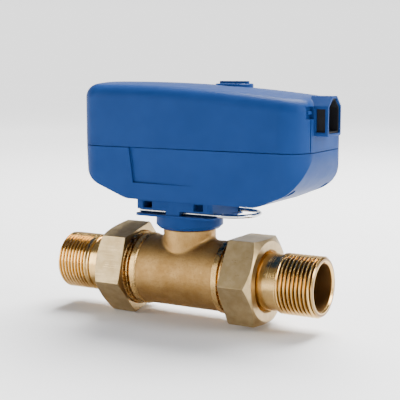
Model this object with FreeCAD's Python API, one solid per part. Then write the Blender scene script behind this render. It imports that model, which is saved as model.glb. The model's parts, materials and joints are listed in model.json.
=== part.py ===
"""Motorised two-way zone valve: a brass ball valve with two union ends and a clip-on actuator.

The frame is in millimetres. X runs along the pipe, towards the end with the cable connector,
-Y is the front and +Z is up the stem. The origin is where the pipe axis meets the stem axis.
"""
import FreeCAD, Part
import math
import os

Vector = FreeCAD.Vector
ORIGIN = Vector(0, 0, 0)
X_AXIS = Vector(1, 0, 0)
Y_AXIS = Vector(0, 1, 0)
Z_AXIS = Vector(0, 0, 1)

# Threads: the union thread has the 55 degree pipe profile, made as parallel rings of the right
# pitch and depth. Each tailpiece is plain at the major diameter of its thread, so that the
# diameter and length a fitting mates with can be measured on one clean wall.
FLANK_SLOPE = math.tan(math.radians(27.5))
TAIL_THREAD_RADIUS = 13.22
TAIL_THREAD_X = (48.0, 64.7)
UNION_THREAD = {"major": 16.624, "pitch": 2.309, "depth": 1.479, "root": 0.2, "start": 23.6, "grooves": 4}
THREAD_PLAY = 0.15            # radial room between the union nut and the body

# Valve body
BODY_RADIUS = 15.8
BODY_RING_RADIUS = 16.5       # machined ring beside each union thread
BODY_RING_START = 19.5
BODY_RING_END = 22.4
BODY_END = 34.0               # the face that seals on the gasket
CHAMBER_RADIUS = 13.2
PASSAGE_RADIUS = 11.2
ENTRY_RADIUS = 13.6           # the side that the ball is put in from
THROAT_RADIUS = 8.2
NECK_RADIUS = 11.8
NECK_TOP = 33.0
NECK_GROOVE = (27.7, 29.7)    # bottom and top of the groove that the wire clip locks into
NECK_GROOVE_RADIUS = 10.3
STEM_BORE_RADIUS = 4.05

# Ball, seats and stem
BALL_RADIUS = 12.75
BALL_BORE_RADIUS = 7.75
BALL_SLOT_WIDTH = 4.0
BALL_SLOT_BOTTOM = 9.0
SQUARE_SIZE = 5.6
STEM_RADIUS = 4.0
STEM_TOP = 40.0

# Union ends
GASKET_THICKNESS = 1.5
TAIL_END = 65.6
TAIL_BORE_RADIUS = 10.2
NUT_FLATS = 37.0
NUT_START = 25.5
NUT_END = 40.0
NUT_TURNS = {"left": 12.5, "right": 0.0}   # degrees that each nut came to rest at

# Actuator housing
HOUSING_X = (-44.7, 65.2)
HOUSING_HALF_WIDTH = 23.7
FLOOR_HALF_WIDTH = 19.2
FLOOR_Z = 34.5
FLOOR_X = (-21.7, 42.3)
FLOOR_RISE = math.tan(math.radians(22))
PARTING_Z = 57.6
PARTING_GAP = 0.3
TONGUE_TOP = 59.6             # the base has a tongue that stands in a rebate of the cover
REBATE_TOP = 60.2
COVER_TOP = 85.8
CROWN_RADIUS = 150.0          # of the top, seen from the end
FALL_RADIUS = 750.0           # of the top, seen from the side: it falls away to the right
FALL_START_X = -30.0
CORNER_RADIUS = 11.0
KNEE_RADII = (16.0, 18.0)     # lower corners at the left and right ends
WALL = 2.2
SOCKET_X = 19.3
SOCKET_Y = 15.0
SOCKET_BOTTOM = 26.7
COLLAR_RADIUS = 15.1
COLLAR_BORE = 11.6
COLLAR_BOTTOM = 20.9

# Wire clip
WIRE_RADIUS = 0.9
CLIP_Z = 28.7
CLIP_HALF_SPAN = 11.3
CLIP_X = (-18.9, 22.5)

# Gear train: module 0.6, 20 degree involute teeth
MODULE = 0.6
PRESSURE_ANGLE = math.radians(20)
ADDENDUM = 0.75 * MODULE
DEDENDUM = 1.1 * MODULE
BACKLASH = 0.12
MOTOR_TEETH = 12
WHEEL_TEETH = 45
PINION_TEETH = 12
OUTPUT_TEETH = 50
INDICATOR_TEETH = 33
MESH_PLAY = 0.1               # added to each centre distance
GEAR_1_X = MODULE * (OUTPUT_TEETH + PINION_TEETH) / 2 + MESH_PLAY
MOTOR_X = GEAR_1_X + MODULE * (WHEEL_TEETH + MOTOR_TEETH) / 2 + MESH_PLAY
KNOB_ANGLE = math.radians(23.96)
KNOB_REACH = MODULE * INDICATOR_TEETH + MESH_PLAY
KNOB_X = KNOB_REACH * math.cos(KNOB_ANGLE)
KNOB_Y = KNOB_REACH * math.sin(KNOB_ANGLE)
PLATE_Z = (58.0, 59.5)
TOP_PLATE_Z = (71.2, 72.4)
WHEEL_Z = (60.5, 64.5)
OUTPUT_Z = (65.5, 70.5)
INDICATOR_Z = (73.0, 76.0)
PLATE_POSTS = ((-12.5, -14.0), (-12.5, 14.0), (34.0, -14.0), (34.0, 14.0))
PLATE_BOSSES = ((-20.0, -14.0), (-20.0, 14.0), (14.0, -15.5), (14.0, 15.5), (53.5, -11.0), (53.5, 11.0))
COVER_SCREWS = ((-33.0, -14.0), (-33.0, 14.0), (57.0, -17.0), (57.0, 17.0))
COVER_SCREW_SEAT = 50.0
COVER_SCREW_TIP = 66.0

# End-of-travel switches and the cams that press them
SWITCH_X = (-21.5, -11.5)
SWITCH_Y = (-10.0, 10.0)
LOWER_SWITCH_Z = (40.6, 46.4)
UPPER_SWITCH_Z = (47.0, 52.8)
SWITCH_PINS = ((-17.5, -6.0), (-17.5, 6.0))
SWITCH_PIN_RADIUS = 1.1
LOWER_CAM_Z = (42.3, 44.7)
UPPER_CAM_Z = (48.7, 51.1)
CAM_LOW = 6.0
CAM_RISE = 1.0
PLUNGER_GAP = 0.15
OUTPUT_SHAFT_RADIUS = 4.0
HUB_RADIUS = 5.0
BUSH_RADIUS = 6.2

# Motor and electronics
MOTOR_RADIUS = 17.0
MOTOR_BOTTOM = 41.8
MOTOR_SCREWS = ((47.0, -8.0), (47.0, 8.0))
BOARD_X = -23.05

# Small features of the cover, each a box from its X, Y and Z spans
SHROUD_WINDOW = ((65.9, 69.9), (-13.0, -10.4), (66.0, 75.4))
END_GROOVE = ((64.6, 66.0), (-15.2, -14.6), (57.0, 71.0))
LATCH_POCKET = ((63.2, 66.0), (-17.4, -12.1), (71.4, 76.4))
LATCH_HOOK = ((62.9, 64.6), (-17.0, -13.4), (73.4, 74.7))
BOARD_SLOT = ((-24.75, -22.95), (-18.0, 18.0), (57.0, 82.0))
BOARD_GUIDE_X = (-27.0, -21.6)
BOARD_GUIDE_Y = (15.4, 22.5)

# Knob on the cover, with three plain marks beside it for its positions
KNOB_RADIUS = 8.4
KNOB_POCKET_RADIUS = 9.0
KNOB_FLOOR_Z = 82.9
KNOB_TOP = 85.1
KNOB_GRIP_TOP = 86.2
KNOB_MARKS_X = (32.0, 37.0, 42.0)
KNOB_MARK_SIZE = (3.2, 1.1, 0.45)

# Cable connector on the right end
SHROUD_X = (62.0, 71.1)
SHROUD_Y = (-11.9, 1.85)
SHROUD_Z = (64.4, 80.6)
SHROUD_WALL = 1.0
LINER_WALL = 0.7
LINER_X = (58.0, 70.4)
LINER_FLOOR_X = 62.0
CONTACT_ROWS_Z = (69.5, 75.2)


# ---------------------------------------------------------------- helpers

def rounded_outline(corners, radii):
    """A closed wire through the corners, each one rounded by its own radius."""
    count = len(corners)
    arcs = []
    for index, corner in enumerate(corners):
        to_before = (corners[index - 1] - corner).normalize()
        to_after = (corners[(index + 1) % count] - corner).normalize()
        half_angle = to_before.getAngle(to_after) / 2
        reach = radii[index] / math.tan(half_angle)
        inward = (to_before + to_after).normalize()
        middle = corner + inward * (radii[index] / math.sin(half_angle) - radii[index])
        arcs.append((corner + to_before * reach, middle, corner + to_after * reach))
    edges = []
    for index, (start, middle, end) in enumerate(arcs):
        if radii[index] > 0:
            edges.append(Part.Arc(start, middle, end).toShape())
        following = arcs[(index + 1) % count][0]
        if end.distanceToPoint(following) > 1e-6:
            edges.append(Part.LineSegment(end, following).toShape())
    return Part.Wire(edges)


def rounded_rectangle(x_span, y_span, z, radius):
    corners = [
        Vector(x_span[0], y_span[0], z),
        Vector(x_span[1], y_span[0], z),
        Vector(x_span[1], y_span[1], z),
        Vector(x_span[0], y_span[1], z),
    ]
    return rounded_outline(corners, [radius] * 4)


def rounded_slab(x_span, y_span, z_span, radius):
    """A plate or block with vertical corners of the given radius."""
    outline = Part.Face(rounded_rectangle(x_span, y_span, z_span[0], radius))
    return outline.extrude(Vector(0, 0, z_span[1] - z_span[0]))


def box(x_span, y_span, z_span):
    corner = Vector(x_span[0], y_span[0], z_span[0])
    return Part.makeBox(x_span[1] - x_span[0], y_span[1] - y_span[0], z_span[1] - z_span[0], corner)


def upright_cylinder(radius, z_span, centre=(0.0, 0.0)):
    base = Vector(centre[0], centre[1], z_span[0])
    return Part.makeCylinder(radius, z_span[1] - z_span[0], base, Z_AXIS)


def x_cylinder(radius, x_span, centre=(0.0, 0.0)):
    """A cylinder along X; centre is (y, z)."""
    base = Vector(x_span[0], centre[0], centre[1])
    return Part.makeCylinder(radius, x_span[1] - x_span[0], base, X_AXIS)


def turned_about_x(outline):
    """A solid turned about the pipe axis from (x, radius) pairs."""
    face = Part.Face(Part.makePolygon([Vector(x, 0, r) for x, r in outline + outline[:1]]))
    return face.revolve(ORIGIN, X_AXIS, 360)


def turned_about_z(outline, centre=(0.0, 0.0)):
    """A solid turned about an upright axis from (radius, z) pairs."""
    face = Part.Face(Part.makePolygon([Vector(r, 0, z) for r, z in outline + outline[:1]]))
    solid = face.revolve(ORIGIN, Z_AXIS, 360)
    solid.translate(Vector(centre[0], centre[1], 0))
    return solid


def tube(outer, inner, z_span, centre=(0.0, 0.0)):
    low, high = z_span
    return turned_about_z([(inner, low), (outer, low), (outer, high), (inner, high)], centre)


def fused(shapes):
    return shapes[0].multiFuse(shapes[1:]).removeSplitter()


def mirrored_x(shape):
    return shape.mirror(ORIGIN, X_AXIS)


def edges_within(shape, x_span, y_span, z_span):
    """The edges that lie wholly inside the box."""
    found = []
    for edge in shape.Edges:
        bounds = edge.BoundBox
        in_x = x_span[0] <= bounds.XMin and bounds.XMax <= x_span[1]
        in_y = y_span[0] <= bounds.YMin and bounds.YMax <= y_span[1]
        in_z = z_span[0] <= bounds.ZMin and bounds.ZMax <= z_span[1]
        if in_x and in_y and in_z:
            found.append(edge)
    return found


def thread_bands(thread, play=0.0, skipped=0):
    """(x, radius) pairs along a ring thread, from its first crest outward."""
    flank = thread["depth"] * FLANK_SLOPE
    crest = thread["pitch"] - 2 * flank - thread["root"]
    major = thread["major"] + play
    points = []
    for groove in range(skipped, thread["grooves"]):
        start = thread["start"] + groove * thread["pitch"]
        root_start = start + crest + flank
        points.append((start, major))
        points.append((start + crest, major))
        points.append((root_start, major - thread["depth"]))
        points.append((root_start + thread["root"], major - thread["depth"]))
    last = thread["start"] + thread["grooves"] * thread["pitch"]
    return points + [(last, major), (last + crest, major)]


# ---------------------------------------------------------------- brass valve

def body_half_outline():
    """The outside of the body from the middle to its right end."""
    relief = 15.1
    start = UNION_THREAD["start"]
    outline = [(0.0, BODY_RADIUS), (BODY_RING_START, BODY_RADIUS)]
    outline += [(BODY_RING_START + 0.4, BODY_RING_RADIUS), (BODY_RING_END, BODY_RING_RADIUS)]
    outline += [(BODY_RING_END + 0.2, relief), (start - 0.3, relief)]
    return outline + thread_bands(UNION_THREAD) + [(BODY_END, 15.9)]


def neck_solid():
    upper = NECK_RADIUS - 0.4
    groove_low, groove_high = NECK_GROOVE
    outline = [(0, 0), (NECK_RADIUS, 0), (NECK_RADIUS, 20.2), (upper, 20.6), (upper, groove_low)]
    outline += [(NECK_GROOVE_RADIUS, groove_low), (NECK_GROOVE_RADIUS, groove_high), (upper, groove_high)]
    outline += [(upper, NECK_TOP - 1.0), (upper - 1.0, NECK_TOP), (0, NECK_TOP)]
    return turned_about_z(outline)


def body_passage():
    """The waterway, the ball chamber and the bore for the stem."""
    past_end = BODY_END + 1.0
    throat_start = -CHAMBER_RADIUS - 2.0
    outline = [(-past_end, 0), (-past_end, PASSAGE_RADIUS), (throat_start - 2.0, PASSAGE_RADIUS)]
    outline += [(throat_start, THROAT_RADIUS), (-CHAMBER_RADIUS, THROAT_RADIUS)]
    outline += [(-CHAMBER_RADIUS, CHAMBER_RADIUS), (CHAMBER_RADIUS, CHAMBER_RADIUS)]
    outline += [(CHAMBER_RADIUS, ENTRY_RADIUS), (past_end, ENTRY_RADIUS), (past_end, 0)]
    counterbore = upright_cylinder(5.75, (8.0, 16.2))
    stem_bore = upright_cylinder(STEM_BORE_RADIUS, (8.0, NECK_TOP + 1.0))
    return [turned_about_x(outline), counterbore, stem_bore]


def make_valve_body():
    right = body_half_outline()
    left = [(-x, r) for x, r in reversed(right[1:])]
    barrel = turned_about_x(left + right + [(BODY_END, 0.0), (-BODY_END, 0.0)])
    barrel.rotate(ORIGIN, X_AXIS, 180)
    neck = neck_solid()
    neck.rotate(ORIGIN, Z_AXIS, 90)
    body = barrel.fuse(neck).removeSplitter()
    junction = edges_within(body, (-12, 12), (-12, 12), (9, 16.5))
    body = body.makeFillet(2.0, junction)
    for hollow in body_passage():
        body = body.cut(hollow)
    for side in (-1, 1):
        notch = box((8.9, 12.0), (-2.0, 2.0), (NECK_TOP - 2.0, NECK_TOP + 1.0))
        body = body.cut(notch if side > 0 else mirrored_x(notch))
    return body


def make_ball():
    ball = Part.makeSphere(BALL_RADIUS)
    ball = ball.cut(x_cylinder(BALL_BORE_RADIUS, (-14, 14)))
    half_slot = BALL_SLOT_WIDTH / 2
    return ball.cut(box((-half_slot, half_slot), (-14, 14), (BALL_SLOT_BOTTOM, 14)))


def make_ball_seats():
    outline = [(8.6, THROAT_RADIUS), (8.6, 13.1), (13.15, 13.1), (13.15, THROAT_RADIUS)]
    seat = turned_about_x(outline).cut(Part.makeSphere(BALL_RADIUS + 0.1))
    return Part.makeCompound([seat, mirrored_x(seat)])


def make_seat_retainer():
    outline = [(13.22, THROAT_RADIUS), (13.22, 13.5), (19.5, 13.5), (19.5, 10.4), (17.6, THROAT_RADIUS)]
    ring = turned_about_x(outline)
    for angle in (0, 90):
        slot = box((18.0, 20.0), (-1.6, 1.6), (-14.0, 14.0))
        slot.rotate(ORIGIN, X_AXIS, angle)
        ring = ring.cut(slot)
    return ring


def stem_ring_grooves():
    return ((20.3, 21.7), (24.3, 25.7))


def make_stem():
    flange_low, flange_high = 13.35, 15.2
    groove_radius = 2.9
    outline = [(0, flange_low), (5.6, flange_low), (5.6, flange_high), (STEM_RADIUS, flange_high)]
    for low, high in stem_ring_grooves():
        outline += [(STEM_RADIUS, low), (groove_radius, low), (groove_radius, high), (STEM_RADIUS, high)]
    square_start = 31.5
    outline += [(STEM_RADIUS, square_start), (0, square_start)]
    half = SQUARE_SIZE / 2
    tang = box((-1.9, 1.9), (-4.2, 4.2), (BALL_SLOT_BOTTOM + 0.15, flange_low))
    square = box((-half, half), (-half, half), (square_start, STEM_TOP))
    top_edges = edges_within(square, (-4, 4), (-4, 4), (STEM_TOP - 0.1, STEM_TOP + 0.1))
    return fused([turned_about_z(outline), tang, square.makeChamfer(0.5, top_edges)])


def make_stem_o_rings():
    rings = []
    for low, high in stem_ring_grooves():
        rings.append(Part.makeTorus(3.49, 0.53, Vector(0, 0, (low + high) / 2), Z_AXIS))
    return Part.makeCompound(rings)


def make_stem_thrust_washer():
    return tube(5.65, STEM_BORE_RADIUS + 0.02, (15.25, 16.15))


def make_gasket_right():
    inner, outer = PASSAGE_RADIUS, 15.1
    end = BODY_END + GASKET_THICKNESS
    return turned_about_x([(BODY_END, inner), (BODY_END, outer), (end, outer), (end, inner)])


def make_tailpiece_right():
    collar_start = BODY_END + GASKET_THICKNESS
    collar_end = 38.0
    shank = 12.5
    bore = TAIL_BORE_RADIUS
    thread_start, thread_end = TAIL_THREAD_X
    outline = [(collar_start, bore), (collar_start, 14.9), (collar_end - 0.3, 14.9), (collar_end, 14.6)]
    outline += [(collar_end, shank), (thread_start - 0.4, shank)]
    outline += [(thread_start, TAIL_THREAD_RADIUS), (thread_end, TAIL_THREAD_RADIUS)]
    outline += [(TAIL_END, 12.3), (TAIL_END, bore + 0.8), (TAIL_END - 0.8, bore)]
    return turned_about_x(outline)


def union_nut_bore():
    crest = UNION_THREAD["major"] + THREAD_PLAY
    lip_start = 38.05
    outline = [(NUT_START - 0.1, 0), (NUT_START - 0.1, crest + 0.55), (NUT_START, crest + 0.5)]
    outline += thread_bands(UNION_THREAD, THREAD_PLAY, skipped=1)
    outline += [(BODY_END + 0.3, crest), (BODY_END + 1.4, 15.3), (lip_start, 15.3), (lip_start, 13.5)]
    outline += [(NUT_END - 0.5, 13.5), (NUT_END + 0.1, 14.1), (NUT_END + 0.1, 0)]
    return turned_about_x(outline)


def make_union_nut_right(turn):
    across_corners = NUT_FLATS / 2 / math.cos(math.radians(30))
    corners = []
    for index in range(6):
        angle = math.radians(60 * index + turn)
        corners.append(Vector(NUT_START, across_corners * math.cos(angle), across_corners * math.sin(angle)))
    blank = Part.Face(Part.makePolygon(corners + corners[:1])).extrude(Vector(NUT_END - NUT_START, 0, 0))
    face_radius = 17.6
    chamfer_length = (across_corners - face_radius) * math.tan(math.radians(30))
    envelope = [(NUT_START, 0), (NUT_START, across_corners - 0.5), (NUT_START + 0.3, across_corners)]
    envelope += [(NUT_END - chamfer_length, across_corners), (NUT_END, face_radius), (NUT_END, 0)]
    return blank.common(turned_about_x(envelope)).cut(union_nut_bore())


# ---------------------------------------------------------------- wire clip

def make_wire_clip():
    """A U of spring wire: two straight legs joined by a half circle at the right."""
    left, right = CLIP_X
    front_end = Vector(left, -CLIP_HALF_SPAN, CLIP_Z)
    front_bend = Vector(right, -CLIP_HALF_SPAN, CLIP_Z)
    tip = Vector(right + CLIP_HALF_SPAN, 0, CLIP_Z)
    rear_bend = Vector(right, CLIP_HALF_SPAN, CLIP_Z)
    rear_end = Vector(left, CLIP_HALF_SPAN, CLIP_Z)
    front_leg = Part.LineSegment(front_end, front_bend).toShape()
    bend = Part.Arc(front_bend, tip, rear_bend).toShape()
    rear_leg = Part.LineSegment(rear_bend, rear_end).toShape()
    section = Part.Wire([Part.Circle(front_end, X_AXIS, WIRE_RADIUS).toShape()])
    return Part.Wire([front_leg, bend, rear_leg]).makePipeShell([section], True, False)


# ---------------------------------------------------------------- actuator housing

def base_profile(inset):
    """The side view of the base: flat floor, two rising ends and upright end walls."""
    left, right = HOUSING_X[0] + inset, HOUSING_X[1] - inset
    floor = FLOOR_Z + inset
    corner_shift = inset * math.tan(math.radians(11))
    slope_lift = inset / math.cos(math.radians(22))
    floor_left, floor_right = FLOOR_X[0] + corner_shift, FLOOR_X[1] - corner_shift
    left_knee = FLOOR_Z + slope_lift + (FLOOR_X[0] - left) * FLOOR_RISE
    right_knee = FLOOR_Z + slope_lift + (right - FLOOR_X[1]) * FLOOR_RISE
    points = [(left, PARTING_Z + 5), (left, left_knee), (floor_left, floor)]
    points += [(floor_right, floor), (right, right_knee), (right, PARTING_Z + 5)]
    start_y = -HOUSING_HALF_WIDTH - 5
    corners = [Vector(x, start_y, z) for x, z in points]
    left_radius, right_radius = KNEE_RADII
    outline = rounded_outline(corners, [0, left_radius - inset, 10, 10, right_radius - inset, 0])
    return Part.Face(outline).extrude(Vector(0, -2 * start_y, 0))


def base_blank(inset):
    """The base housing as a solid, each face moved in by the inset."""
    x_span = (HOUSING_X[0] + inset, HOUSING_X[1] - inset)
    top_half = HOUSING_HALF_WIDTH - inset
    floor_half = FLOOR_HALF_WIDTH - inset
    rim = rounded_rectangle(x_span, (-top_half, top_half), PARTING_Z, CORNER_RADIUS - inset)
    foot = rounded_rectangle(x_span, (-floor_half, floor_half), FLOOR_Z, 6.0 - inset / 2)
    return Part.makeLoft([foot, rim], True, True).common(base_profile(inset))


def rim_ring(z_span, outer_inset, inner_inset):
    """A band that follows the rim of the housing between two insets."""
    slabs = []
    for inset in (outer_inset, inner_inset):
        x_span = (HOUSING_X[0] + inset, HOUSING_X[1] - inset)
        half = HOUSING_HALF_WIDTH - inset
        slabs.append(rounded_slab(x_span, (-half, half), z_span, CORNER_RADIUS - inset))
    return slabs[0].cut(slabs[1])


def front_panel_cut():
    """A shallow step in the sloping front, deepest at its left edge and fading to the right."""
    draft = (HOUSING_HALF_WIDTH - FLOOR_HALF_WIDTH) / (PARTING_Z - FLOOR_Z)
    low, high = 42.0, PARTING_Z + 0.5
    face_y = -FLOOR_HALF_WIDTH - (low - FLOOR_Z) * draft
    left, right, depth = -17.0, 14.0, 1.1
    outline = [(left, face_y + depth), (right, face_y), (right, face_y - 4), (left, face_y - 4)]
    corners = [Vector(x, y, low) for x, y in outline]
    height = high - low
    return Part.Face(Part.makePolygon(corners + corners[:1])).extrude(Vector(0, -draft * height, height))


def socket_block():
    """The hollow block under the floor that the wire clip runs through."""
    x_span, y_span = (-SOCKET_X, SOCKET_X), (-SOCKET_Y, SOCKET_Y)
    ledge = rounded_slab((-SOCKET_X - 0.5, SOCKET_X + 0.5), (-SOCKET_Y - 0.5, SOCKET_Y + 0.5), (26.7, 27.7), 2.5)
    block = rounded_slab(x_span, y_span, (SOCKET_BOTTOM, FLOOR_Z + 0.5), 2.0).fuse(ledge)
    hollow = rounded_slab((-17.2, 17.2), (-13.0, 13.0), (29.7, FLOOR_Z), 1.0)
    block = block.cut(hollow)
    for x_low in (-15.4, 10.6):
        block = block.cut(box((x_low, x_low + 4.8), (-16.0, 16.0), (30.4, 33.4)))
    return block


def socket_collar():
    outline = [(COLLAR_BORE, COLLAR_BOTTOM), (COLLAR_RADIUS - 1.5, COLLAR_BOTTOM)]
    outline += [(COLLAR_RADIUS, COLLAR_BOTTOM + 1.5), (COLLAR_RADIUS, FLOOR_Z + 0.5), (COLLAR_BORE, FLOOR_Z + 0.5)]
    return turned_about_z(outline)


def clip_slots():
    """Room for the wire clip's legs, open at the front and back beside a centre rib."""
    low, high = NECK_GROOVE
    slots = []
    for side in (-1, 1):
        inner, outer, rib = 10.15 * side, 18.0 * side, 12.6 * side
        slot = box((-22.0, 22.0), sorted((inner, outer)), (low, high))
        centre_rib = box((-3.5, 3.5), sorted((rib, outer)), (low, high))
        slots.append(slot.cut(centre_rib))
    return slots


def base_posts():
    """Screw posts for the gear plate and the cover, and the posts that the switches sit on."""
    posts = []
    for x, y in PLATE_BOSSES:
        posts.append(upright_cylinder(2.8, (FLOOR_Z, PLATE_Z[0]), (x, y)))
    for x, y in COVER_SCREWS:
        posts.append(upright_cylinder(3.0, (FLOOR_Z, PARTING_Z), (x, y)))
    for x, y in SWITCH_PINS:
        posts.append(upright_cylinder(2.2, (FLOOR_Z + 1, LOWER_SWITCH_Z[0]), (x, y)))
        posts.append(upright_cylinder(SWITCH_PIN_RADIUS, (FLOOR_Z + 1, UPPER_SWITCH_Z[1] + 0.6), (x, y)))
    return posts


def base_screw_holes():
    holes = []
    for x, y in PLATE_BOSSES:
        holes.append(upright_cylinder(1.0, (PLATE_Z[0] - 9.0, PLATE_Z[0] + 1), (x, y)))
    for x, y in COVER_SCREWS:
        holes.append(upright_cylinder(2.4, (FLOOR_Z - 1, COVER_SCREW_SEAT), (x, y)))
        holes.append(upright_cylinder(1.3, (FLOOR_Z - 1, PARTING_Z + 1), (x, y)))
    return holes


def make_base_housing():
    outer = base_blank(0.0).cut(front_panel_cut())
    shell = outer.cut(base_blank(WALL))
    tall_slab = rounded_slab(HOUSING_X, (-HOUSING_HALF_WIDTH, HOUSING_HALF_WIDTH), (PARTING_Z - 1, 65), CORNER_RADIUS)
    envelope = base_blank(0.0).fuse(tall_slab)
    posts = fused(base_posts()).common(envelope)
    tongue = rim_ring((PARTING_Z - 1.2, TONGUE_TOP), 1.25, WALL)
    base = fused([shell, posts, tongue, socket_block(), socket_collar()])
    for hole in base_screw_holes() + clip_slots():
        base = base.cut(hole)
    base = base.cut(upright_cylinder(COLLAR_BORE, (COLLAR_BOTTOM - 1, NECK_TOP + 0.15)))
    base = base.cut(upright_cylinder(BUSH_RADIUS, (NECK_TOP, FLOOR_Z + WALL + 1)))
    keys = []
    for side in (-1, 1):
        key = box((9.05, 12.6), (-1.85, 1.85), (NECK_TOP - 1.85, NECK_TOP + 0.5))
        keys.append(key if side > 0 else mirrored_x(key))
    return fused([base] + keys)


def crowned_block(inset):
    """All that is under the top surface, which is crowned across and falls away to the right."""
    top = COVER_TOP - inset
    half, low = 30.0, 40.0
    edge_z = top - CROWN_RADIUS + math.sqrt(CROWN_RADIUS ** 2 - half ** 2)
    x = FALL_START_X
    front, rear = Vector(x, -half, edge_z), Vector(x, half, edge_z)
    crown = Part.Arc(front, Vector(x, 0, top), rear).toShape()
    sides = Part.makePolygon([rear, Vector(x, half, low), Vector(x, -half, low), front])
    section = Part.Face(Part.Wire([crown] + sides.Edges))
    pivot = Vector(x, 0, top - FALL_RADIUS)
    to_left = math.degrees(math.asin((x - HOUSING_X[0] + 10) / FALL_RADIUS))
    to_right = math.degrees(math.asin((HOUSING_X[1] + 10 - x) / FALL_RADIUS))
    section.rotate(pivot, Y_AXIS, -to_left)
    return section.revolve(pivot, Y_AXIS, to_left + to_right)


def cover_blank(inset, fillet):
    """The cover as a solid: upright walls, a crowned top and rounded top edges."""
    x_span = (HOUSING_X[0] + inset, HOUSING_X[1] - inset)
    half = HOUSING_HALF_WIDTH - inset
    bottom = PARTING_Z + PARTING_GAP
    slab = rounded_slab(x_span, (-half, half), (bottom, COVER_TOP + 5), CORNER_RADIUS - inset)
    blank = slab.common(crowned_block(inset))
    rim = [edge for edge in blank.Edges if edge.BoundBox.ZMin > PARTING_Z + 12]
    return blank.makeFillet(fillet, rim)


def cover_surface_z(x, y):
    """The height of the cover's top surface, away from its rounded rim."""
    return COVER_TOP - (x - FALL_START_X) ** 2 / 2 / FALL_RADIUS - y ** 2 / 2 / CROWN_RADIUS


def knob_marks():
    """Shallow slots in the top, in a row beside the knob."""
    length, width, depth = KNOB_MARK_SIZE
    marks = []
    for x in KNOB_MARKS_X:
        floor = cover_surface_z(x, KNOB_Y) - depth
        marks.append(box((x, x + length), (KNOB_Y - width / 2, KNOB_Y + width / 2), (floor, COVER_TOP)))
    return marks


def shroud_outline(inset, x):
    """The connector shroud's section across X: a rectangle with its two upper corners cut."""
    left, right = SHROUD_Y[0] + inset, SHROUD_Y[1] - inset
    low, high = SHROUD_Z[0] + inset, SHROUD_Z[1] - inset
    run, rise = 4.6 - inset * 0.6, 4.2 - inset * 0.6
    corners = [Vector(x, left, low), Vector(x, right, low), Vector(x, right, high - rise)]
    corners += [Vector(x, right - run, high), Vector(x, left + run, high), Vector(x, left, high - rise)]
    return rounded_outline(corners, [0.8] * 6)


def shroud_prism(inset, x_span):
    face = Part.Face(shroud_outline(inset, x_span[0]))
    return face.extrude(Vector(x_span[1] - x_span[0], 0, 0))


def cover_inside_features(outer):
    """Screw posts, guides for the circuit board and the boss under the knob, kept within the outside."""
    bottom = PARTING_Z + PARTING_GAP
    posts = [upright_cylinder(3.0, (bottom, COVER_TOP), centre) for centre in COVER_SCREWS]
    near, far = BOARD_GUIDE_Y
    rear_guide = box(BOARD_GUIDE_X, (near, far), (REBATE_TOP + 0.4, COVER_TOP))
    front_guide = box(BOARD_GUIDE_X, (-far, -near), (REBATE_TOP + 0.4, COVER_TOP))
    knob_boss = upright_cylinder(5.0, (79.0, COVER_TOP), (KNOB_X, KNOB_Y))
    return fused(posts + [rear_guide, front_guide, knob_boss]).common(outer)


def cover_hollows():
    knob = (KNOB_X, KNOB_Y)
    rebate = rim_ring((PARTING_Z, REBATE_TOP), 1.1, WALL + 0.02)
    connector = shroud_prism(SHROUD_WALL, (SHROUD_X[0] - 4, SHROUD_X[1] + 1))
    knob_pocket = upright_cylinder(KNOB_POCKET_RADIUS, (KNOB_FLOOR_Z, COVER_TOP + 2), knob)
    knob_bore = upright_cylinder(2.6, (78.0, COVER_TOP + 2), knob)
    hollows = [rebate, connector, knob_pocket, knob_bore]
    hollows += [box(*spans) for spans in (BOARD_SLOT, SHROUD_WINDOW, END_GROOVE, LATCH_POCKET)]
    hollows += [upright_cylinder(1.1, (PARTING_Z - 1, COVER_SCREW_TIP + 0.5), centre) for centre in COVER_SCREWS]
    return hollows + knob_marks()


def make_cover():
    outer = cover_blank(0.0, 6.0)
    shell = outer.cut(cover_blank(WALL, 4.0))
    cover = fused([shell, cover_inside_features(outer), shroud_prism(0.0, SHROUD_X)])
    for hollow in cover_hollows():
        cover = cover.cut(hollow)
    return fused([cover, box(*LATCH_HOOK)])


def make_housing_seal():
    return rim_ring((TONGUE_TOP, REBATE_TOP - 0.05), 1.3, WALL - 0.05)


def make_connector_insert():
    """A cup that lines the shroud, with a slot in its floor for each contact."""
    outer = SHROUD_WALL + 0.05
    insert = shroud_prism(outer, LINER_X)
    insert = insert.cut(shroud_prism(outer + LINER_WALL, (LINER_FLOOR_X, LINER_X[1] + 1)))
    for y in connector_rows():
        for z in CONTACT_ROWS_Z:
            insert = insert.cut(box((57.0, 63.0), (y - 0.6, y + 0.6), (z - 0.9, z + 0.9)))
    return insert


def connector_rows():
    middle = (SHROUD_Y[0] + SHROUD_Y[1]) / 2
    return [middle - 3.0, middle, middle + 3.0]


def make_connector_contacts():
    """Six flat contacts that stop just short of the liner's floor."""
    contacts = []
    for y in connector_rows():
        for z in CONTACT_ROWS_Z:
            contacts.append(box((54.0, LINER_FLOOR_X - 0.6), (y - 0.4, y + 0.4), (z - 0.6, z + 0.6)))
    return Part.makeCompound(contacts)


def screw(centre, seat, tip, shank_radius, head_radius, head_height, head_up=True):
    """A pan-head screw with a cross recess, seated at z = seat with its tip at z = tip."""
    sign = 1 if head_up else -1
    head_end = seat + sign * head_height
    head = upright_cylinder(head_radius, sorted((seat, head_end)), centre)
    rim = [edge for edge in head.Edges if abs(edge.BoundBox.ZMin - head_end) < 0.01 and edge.Length > 3]
    head = head.makeFillet(head_height * 0.4, rim)
    recess_z = sorted((head_end - sign * head_height * 0.5, head_end + sign * 0.5))
    reach, slot = head_radius * 0.6, head_radius * 0.13
    x, y = centre
    head = head.cut(box((x - reach, x + reach), (y - slot, y + slot), recess_z))
    head = head.cut(box((x - slot, x + slot), (y - reach, y + reach), recess_z))
    return head.fuse(upright_cylinder(shank_radius, sorted((seat, tip)), centre))


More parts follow.
